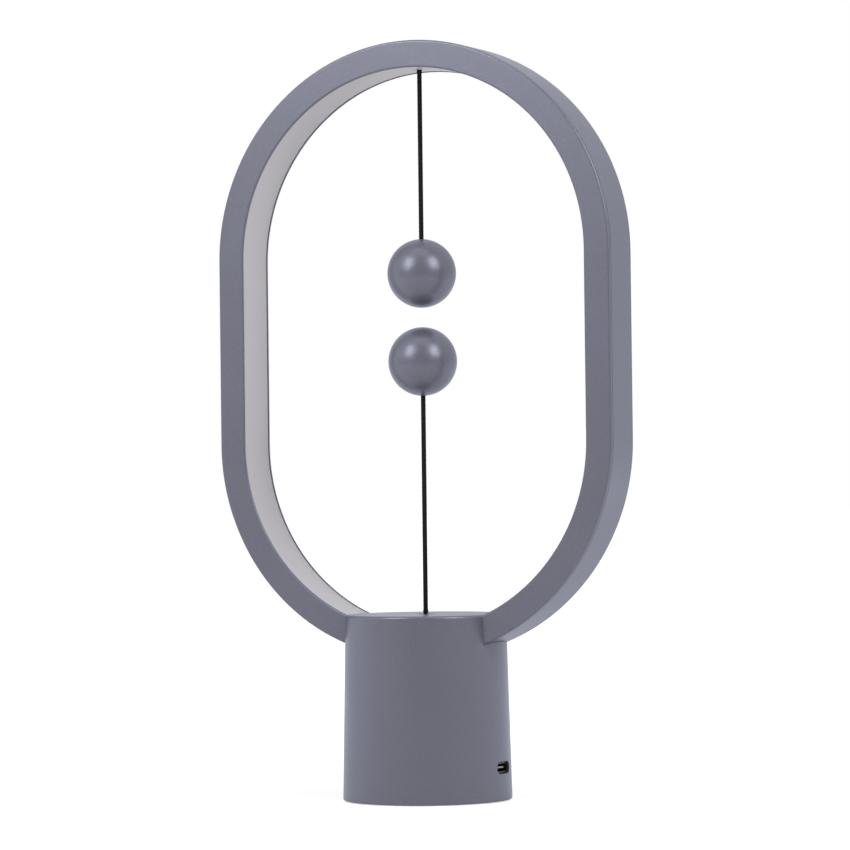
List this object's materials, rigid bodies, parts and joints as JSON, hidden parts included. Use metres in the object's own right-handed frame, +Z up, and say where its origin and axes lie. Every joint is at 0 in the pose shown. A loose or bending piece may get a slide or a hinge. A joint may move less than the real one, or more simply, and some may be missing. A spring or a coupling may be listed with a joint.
{
  "type": "led table lamp",
  "caption": "Ring-shaped LED table lamp on a round base, with two balls on cords that hover towards each other by magnets inside the ring and work the pull switch in the base.",
  "frame": {"origin": "bottom of the foot ring, under the middle of the round base", "axes": "+Z up, ring in the XZ plane, front towards -Y, power inlet on the +X side of the base"},
  "size_m": [0.1414, 0.0558, 0.25],
  "materials": {
    "moulding": "satin, finely speckled",
    "diffuser": "translucent matt",
    "steel": "plain",
    "magnet": "nickel plated",
    "rubber": "matt",
    "board": "glass-filled laminate",
    "strip": "flexible film with light sources",
    "insulator": "plain",
    "contact_block": "plain",
    "cord": "braided"
  },
  "bodies": {
    "lamp": {"ring_shell": "moulding", "ring_front_cover": "moulding", "diffuser_strip": "diffuser", "led_strip": "strip", "base_shell": "moulding", "base_cap": "moulding", "base_cover": "moulding", "foot_ring": "rubber", "base_weight": "steel", "circuit_board": "board", "cover_screw_1": "steel", "cover_screw_2": "steel", "cover_screw_3": "steel", "cover_screw_4": "steel", "strip_lead_front": "insulator", "strip_lead_back": "insulator", "ring_screw_left": "steel", "ring_screw_right": "steel", "inlet_shell": "steel", "inlet_tongue": "contact_block", "upper_cord_anchor": "cord", "upper_cord_washer": "steel", "return_spring": "steel", "switch_frame": "insulator", "switch_body": "insulator", "lever_pin": "steel"},
    "upper_bend": {"upper_cord_bead": "cord"},
    "upper_pendulum": {"upper_cord": "cord", "upper_ball_cord_half": "moulding", "upper_ball_magnet_half": "moulding", "upper_magnet": "magnet"},
    "pull": {"pull_stem": "insulator", "lower_cord_tail": "cord"},
    "lower_bend": {"lower_cord_bead": "cord"},
    "lower_pendulum": {"lower_cord": "cord", "lower_ball_cord_half": "moulding", "lower_ball_magnet_half": "moulding", "lower_magnet": "magnet"},
    "lever": {"switch_lever": "steel"},
    "button": {"switch_button": "cord"}
  },
  "joints": [
    {"name": "upper_swing_side", "type": "hinge", "parent": "lamp", "child": "upper_bend", "pos_m": [0, 0, 0.2402], "axis": [0, 1, 0], "range_deg": [-40, 40]},
    {"name": "upper_swing_front", "type": "hinge", "parent": "upper_bend", "child": "upper_pendulum", "pos_m": [0, 0, 0.2402], "axis": [1, 0, 0], "range_deg": [-60, 60]},
    {"name": "cord_pull", "type": "slide", "parent": "lamp", "child": "pull", "axis": [0, 0, 1], "range_m": [-0.0025, 0], "stiffness_N_per_m": 80, "springref_m": 0.003, "deforming": ["return_spring"]},
    {"name": "lower_swing_side", "type": "hinge", "parent": "pull", "child": "lower_bend", "pos_m": [0, 0, 0.0623], "axis": [0, 1, 0], "range_deg": [-25, 25], "stiffness_Nm_per_rad": 0.02},
    {"name": "lower_swing_front", "type": "hinge", "parent": "lower_bend", "child": "lower_pendulum", "pos_m": [0, 0, 0.0623], "axis": [1, 0, 0], "range_deg": [-30, 30], "stiffness_Nm_per_rad": 0.02},
    {"name": "lever_turn", "type": "hinge", "parent": "lamp", "child": "lever", "pos_m": [0.0124, 0, 0.0246], "axis": [0, 1, 0], "range_deg": [-23, 0]},
    {"name": "button_press", "type": "slide", "parent": "lamp", "child": "button", "axis": [0, 0, 1], "range_m": [-0.001, 0]}
  ],
  "couplings": [
    {"joint": "lever_turn", "follows": "cord_pull", "rad_per_m": 160},
    {"joint": "button_press", "follows": "cord_pull", "ratio": 0.4}
  ]
}
